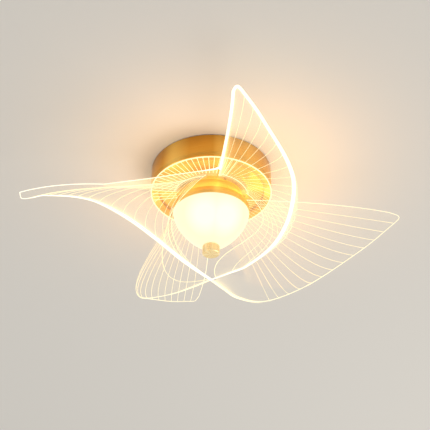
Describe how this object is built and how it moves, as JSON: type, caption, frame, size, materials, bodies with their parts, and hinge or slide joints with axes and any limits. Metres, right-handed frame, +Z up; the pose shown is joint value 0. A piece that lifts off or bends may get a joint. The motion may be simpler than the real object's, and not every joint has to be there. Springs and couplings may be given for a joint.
{
  "type": "led ceiling light",
  "caption": "Surface-mounted ceiling light: round brass canopy, clear glowing petals set like a pinwheel, and a frosted glass cup held from below by a finial.",
  "frame": {"origin": "centre between the two ceiling slots, on the ceiling plane and on the lamp's axis", "axes": "+Z up along the lamp's axis into the ceiling, the lamp hangs below the origin; -Y is the front, +X is the right as seen from the front"},
  "size_m": [0.4989, 0.4787, 0.1685],
  "materials": {
    "bracket_steel": "zinc plated",
    "grommet_rubber": "black",
    "screw_brass": "bare",
    "brushed_brass": "brushed",
    "driver_shell": "white",
    "terminal_plastic": "white",
    "screw_steel": "zinc plated",
    "plate_brass": "polished",
    "hub_aluminium": "turned",
    "board_white": "white coated board",
    "clear_acrylic": "clear acrylic, polished",
    "rod_steel": "zinc plated",
    "holder_ceramic": "glazed ceramic",
    "lamp_glass": "clear",
    "soft_silicone": "translucent white",
    "frosted_glass": "frosted, opal"
  },
  "bodies": {
    "base": {"ceiling_bracket": "bracket_steel", "cable_grommet": "grommet_rubber", "earth_screw": "screw_brass", "canopy": "brushed_brass", "canopy_lock_screws": "screw_brass", "led_driver": "driver_shell", "terminal_block": "terminal_plastic", "base_screws": "screw_steel", "underside_plate": "plate_brass", "hub": "hub_aluminium", "led_ring_board": "board_white", "light_guide_ring": "clear_acrylic", "petal_front": "clear_acrylic", "petal_right": "clear_acrylic", "petal_rear": "clear_acrylic", "petal_left": "clear_acrylic", "petal_clamp_ring": "plate_brass", "petal_screws": "screw_steel", "neck": "plate_brass", "centre_rod": "rod_steel", "rod_nuts": "screw_steel", "rod_washers": "screw_steel", "shade_collar": "brushed_brass", "lampholder_bridge": "bracket_steel", "lampholders": "holder_ceramic", "lamps": "lamp_glass", "cup_gasket": "soft_silicone"},
    "shade": {"glass_cup": "frosted_glass", "finial_washer": "soft_silicone"},
    "finial": {"finial": "brushed_brass"}
  },
  "joints": [
    {"name": "shade_drop", "type": "slide", "parent": "base", "child": "shade", "axis": [0, 0, -1], "range_m": [0, 0.007]},
    {"name": "finial_turn", "type": "hinge", "parent": "shade", "child": "finial", "pos_m": [0, 0, -0.124], "axis": [0, 0, -1], "range_deg": [0, 2520]}
  ],
  "couplings": [
    {"joint": "finial_turn", "follows": "shade_drop", "rad_per_m": 6283.2}
  ]
}
